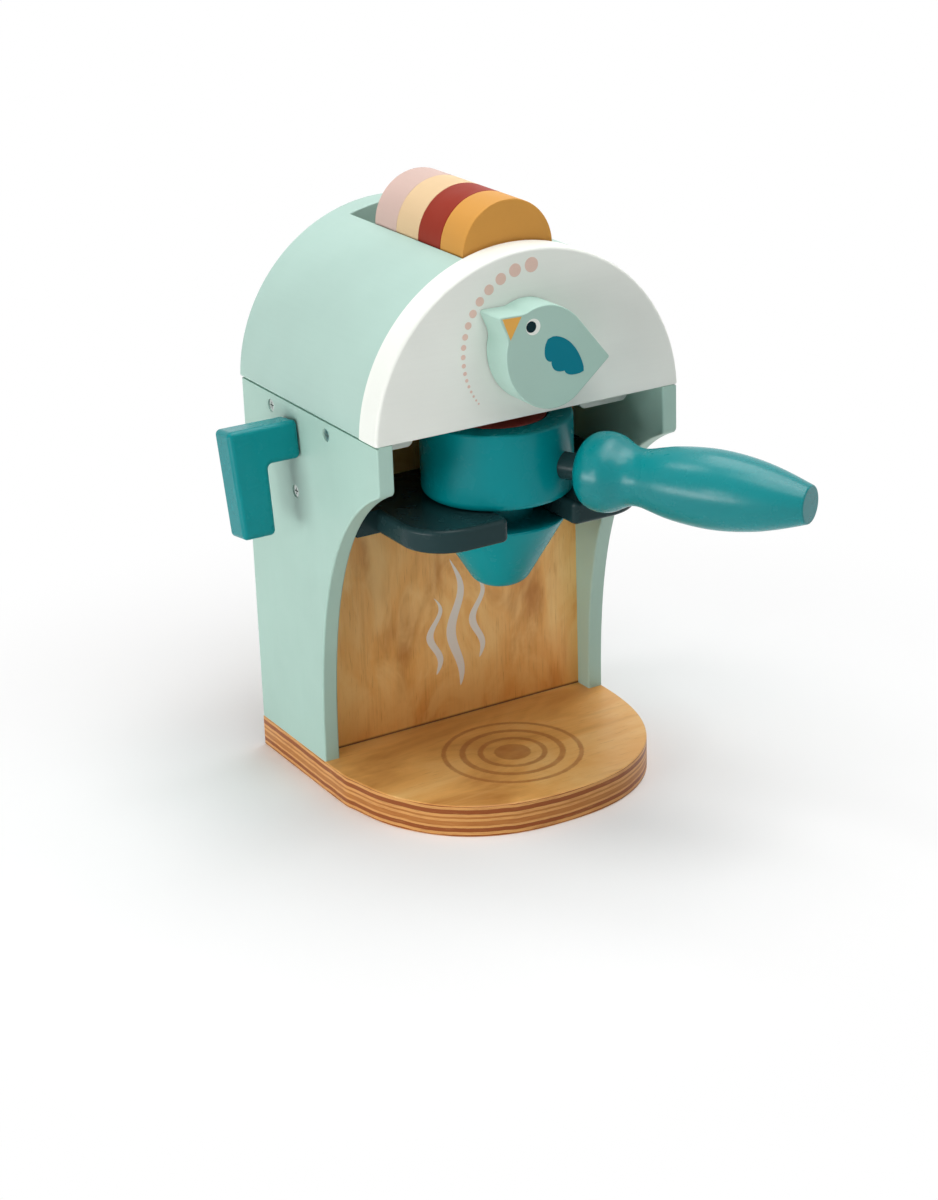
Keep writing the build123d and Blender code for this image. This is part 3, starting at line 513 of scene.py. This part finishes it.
def print_bird():
    """Eye, beak and a scalloped wing on the face of the knob; they turn with it."""
    face_y = KNOB_LOW.y

    def spot(x, z):
        return KNOB_AXIS.x + x * MM, KNOB_AXIS.z + z * MM

    orange = paint("beak_print", BEAK_ORANGE, "x", roughness=0.48)
    white = paint("eye_white_print", WHITE, "x", roughness=0.45)
    navy = paint("eye_navy_print", PUPIL, "x", gloss=0.1)
    teal = paint("wing_print", WING_TEAL, "x", gloss=0.12)
    plate("bird_beak", [spot(*corner) for corner in BIRD_BEAK], face_y, orange, "knob")
    plate("bird_eye_white", circle(*spot(*BIRD_EYE), BIRD_EYE_R), face_y, white, "knob")
    pupil = circle(*spot(*BIRD_PUPIL), BIRD_PUPIL_R)
    plate("bird_eye_navy", pupil, face_y - PRINT_T, navy, "knob")

    turn = math.radians(BIRD_WING_TURN)
    outline = []
    for step in range(WING_STEPS + 1):
        share = step / WING_STEPS
        top = math.sin(math.pi * share ** WING_BELLY) ** WING_ROUND_TOP
        outline.append((share, BIRD_WING_RISE * top))
    for step in range(1, 2 * WING_STEPS + 1):
        share = 1 - step / (2 * WING_STEPS)
        feather = abs(math.sin(math.pi * BIRD_FEATHERS * share)) ** BIRD_NOTCH_SHARPNESS
        depth = BIRD_WING_DROP * (1 - BIRD_SCALLOP + BIRD_SCALLOP * feather)
        foot = math.sin(math.pi * share ** WING_BELLY) ** WING_ROUND_FOOT
        outline.append((share, -depth * foot))
    loop = []
    for share, across in outline[:-1]:
        along = share * BIRD_WING_L
        x = BIRD_WING_ROOT[0] + along * math.cos(turn) - across * math.sin(turn)
        z = BIRD_WING_ROOT[1] + along * math.sin(turn) + across * math.cos(turn)
        loop.append(spot(x, z))
    plate("bird_wing", loop, face_y, teal, "knob")


def print_steam():
    """Three wavy wisps of steam, drawn out to points, on the back panel."""
    grey = paint("steam_print", PRINT_GREY, "x", roughness=0.5)
    for number, (x, low, high, half_width, phase) in enumerate(STEAM_WISPS, start=1):
        left = []
        right = []
        for step in range(STEAM_STEPS + 1):
            share = step / STEAM_STEPS
            z = low + (high - low) * share
            wave = math.sin(phase + 2 * math.pi * STEAM_WAVES * share)
            swing = STEAM_SWING_FOOT + (1 - STEAM_SWING_FOOT) * share
            middle = x + STEAM_SWING * swing * wave
            thick = half_width * math.sin(math.pi * share ** STEAM_BELLY) ** STEAM_ROUND
            left.append(((middle - thick) * MM, z * MM))
            right.append(((middle + thick) * MM, z * MM))
        loop = left + list(reversed(right[1:-1]))
        plate(f"steam_wisp_{number}", loop, BACK_LOW.y, grey, "machine")


print_dots()
print_bird()
print_steam()


# ================================================================== stage
def make_floor():
    """Pale floor that turns to plain white away from the object."""
    mesh = bpy.data.meshes.new("studio_floor")
    corners = [(x * FLOOR_HALF, y * FLOOR_HALF, 0.0) for x, y in ((-1, -1), (1, -1), (1, 1), (-1, 1))]
    mesh.from_pydata(corners, [], [(0, 1, 2, 3)])
    floor = bpy.data.objects.new("studio_floor", mesh)
    floor.location.z = BASE_LOW.z
    bpy.context.scene.collection.objects.link(floor)
    tree = Tree("studio_floor")
    diffuse = tree.nodes.new("ShaderNodeBsdfDiffuse")
    diffuse.inputs["Color"].default_value = (FLOOR_COLOUR, FLOOR_COLOUR, FLOOR_COLOUR, 1.0)
    white = tree.nodes.new("ShaderNodeEmission")
    white.inputs["Strength"].default_value = 1.0
    length = tree.nodes.new("ShaderNodeVectorMath")
    length.operation = "LENGTH"
    tree.put(length.inputs[0], tree.place)
    far = tree.between(length.outputs["Value"], *FLOOR_FADE)
    rays = tree.nodes.new("ShaderNodeLightPath")
    seen = tree.math("MAXIMUM", rays.outputs["Is Camera Ray"], rays.outputs["Is Glossy Ray"])
    mix = tree.nodes.new("ShaderNodeMixShader")
    tree.put(mix.inputs[0], tree.math("MULTIPLY", far, seen))
    tree.links.new(diffuse.outputs[0], mix.inputs[1])
    tree.links.new(white.outputs[0], mix.inputs[2])
    output = tree.nodes.new("ShaderNodeOutputMaterial")
    tree.links.new(mix.outputs[0], output.inputs["Surface"])
    mesh.materials.append(tree.material)


def make_world():
    """Even white surroundings, plain white to the camera and to glossy surfaces."""
    world = bpy.data.worlds.new("studio")
    world.use_nodes = True
    bpy.context.scene.world = world
    tree = world.node_tree
    background = tree.nodes["Background"]
    background.inputs["Color"].default_value = (1.0, 1.0, 1.0, 1.0)
    rays = tree.nodes.new("ShaderNodeLightPath")
    seen = tree.nodes.new("ShaderNodeMath")
    seen.operation = "MAXIMUM"
    tree.links.new(rays.outputs["Is Camera Ray"], seen.inputs[0])
    tree.links.new(rays.outputs["Is Glossy Ray"], seen.inputs[1])
    strength = tree.nodes.new("ShaderNodeMapRange")
    tree.links.new(seen.outputs[0], strength.inputs["Value"])
    strength.inputs["To Min"].default_value = WORLD_LIGHT
    strength.inputs["To Max"].default_value = 1.0
    tree.links.new(strength.outputs["Result"], background.inputs["Strength"])


def make_lights():
    for name, place, aim, width, height, power in SOFTBOXES:
        light = bpy.data.lights.new(name, "AREA")
        light.shape = "RECTANGLE"
        light.size = width
        light.size_y = height
        light.energy = power
        lamp = bpy.data.objects.new(name, light)
        lamp.location = place
        lamp.rotation_euler = (Vector(aim) - Vector(place)).to_track_quat("-Z", "Y").to_euler()
        bpy.context.scene.collection.objects.link(lamp)


def make_camera():
    camera = bpy.data.cameras.new("camera")
    camera.lens = CAMERA_LENS
    camera.shift_x, camera.shift_y = CAMERA_SHIFT
    camera.clip_start, camera.clip_end = CAMERA_CLIP
    eye = bpy.data.objects.new("camera", camera)
    right = Vector((math.cos(CAMERA_TURN), -math.sin(CAMERA_TURN), 0.0))
    level = math.cos(CAMERA_RISE)
    back = Vector((-math.sin(CAMERA_TURN) * level, -math.cos(CAMERA_TURN) * level, math.sin(CAMERA_RISE)))
    up = back.cross(right)
    rolled_right = right * math.cos(CAMERA_ROLL) + up * math.sin(CAMERA_ROLL)
    rolled_up = up * math.cos(CAMERA_ROLL) - right * math.sin(CAMERA_ROLL)
    turn = Matrix((rolled_right, rolled_up, back)).transposed()
    eye.matrix_world = Matrix.Translation(CAMERA_PLACE) @ turn.to_4x4()
    bpy.context.scene.collection.objects.link(eye)
    bpy.context.scene.camera = eye


make_floor()
make_world()
make_lights()
make_camera()
bpy.context.scene.view_settings.view_transform = "Standard"
